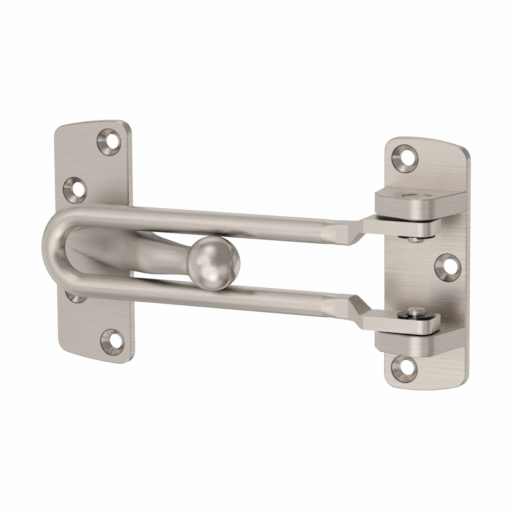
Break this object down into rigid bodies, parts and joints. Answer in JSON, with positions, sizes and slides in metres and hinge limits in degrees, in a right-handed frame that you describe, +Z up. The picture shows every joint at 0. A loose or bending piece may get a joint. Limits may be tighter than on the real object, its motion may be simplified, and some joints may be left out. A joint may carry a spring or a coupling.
{
  "type": "door restrictor",
  "caption": "Door restrictor: a hinged U-shaped swing arm that runs over the ball of a door keep, so the door opens only a little.",
  "frame": {"origin": "centre of the hinge plate's flat back face, which is screwed to the door frame", "axes": "+X along the wall from the keep towards the hinge side, +Y into the wall, +Z up along the hinge pins"},
  "size_m": [0.1452, 0.0325, 0.0812],
  "materials": {
    "satin_plate": "satin nickel plate, brushed lengthwise",
    "satin_bar": "satin nickel plate on a round steel bar",
    "pin_metal": "satin nickel plate, turned",
    "clip_steel": "black oxide spring steel"
  },
  "bodies": {
    "root": {"hinge_bracket": "satin_plate", "upper_pin": "pin_metal", "lower_pin": "pin_metal", "upper_clip": "clip_steel", "lower_clip": "clip_steel"},
    "arm": {"swing_arm": "satin_bar"},
    "keep": {"keep": "satin_plate"}
  },
  "joints": [
    {"name": "arm_swing", "type": "hinge", "parent": "root", "child": "arm", "pos_m": [0.0026, -0.0172, 0], "axis": [0, 0, 1], "range_deg": [0, 180]},
    {"name": "keep_slide", "type": "slide", "parent": "arm", "child": "keep", "axis": [1, 0, 0], "range_m": [-0.0205, 0.048]}
  ]
}
